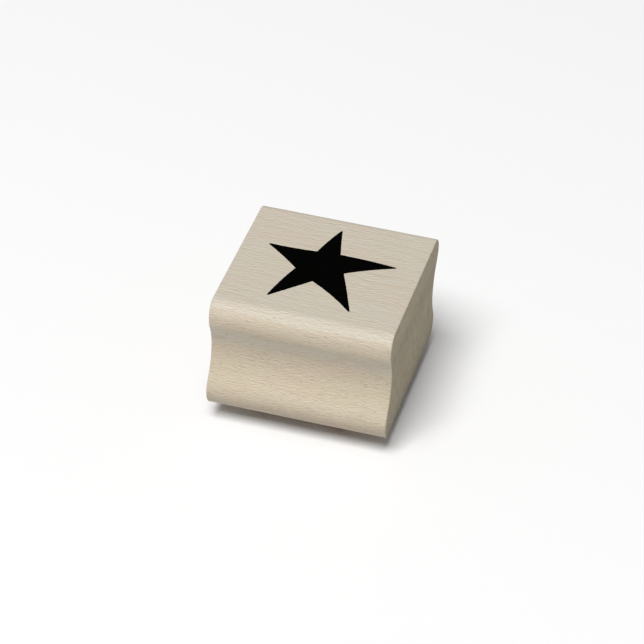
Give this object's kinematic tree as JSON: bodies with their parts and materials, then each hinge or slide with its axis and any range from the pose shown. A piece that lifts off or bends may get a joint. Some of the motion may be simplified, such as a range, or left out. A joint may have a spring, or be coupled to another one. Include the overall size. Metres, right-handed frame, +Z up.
{
  "type": "rubber stamp",
  "caption": "Wood-mounted rubber stamp: a moulded hardwood block, printed with a star on top, over a foam cushion and a raised star-shaped rubber die that prints it.",
  "frame": {"origin": "on the die's printing face, under the middle of the block", "axes": "+X along the wood's grain, to the right end; -Y to the front; +Z up"},
  "size_m": [0.0382, 0.0402, 0.0298],
  "materials": {
    "wood": "bare sanded pale hardwood",
    "ink": "matt black print",
    "foam": "fine closed-cell foam",
    "adhesive": "clear film",
    "rubber": "matt moulded rubber"
  },
  "bodies": {
    "root": {"wood_block": "wood", "printed_star": "ink", "upper_adhesive": "adhesive", "foam_cushion": "foam", "lower_adhesive": "adhesive", "rubber_die": "rubber"}
  },
  "joints": []
}
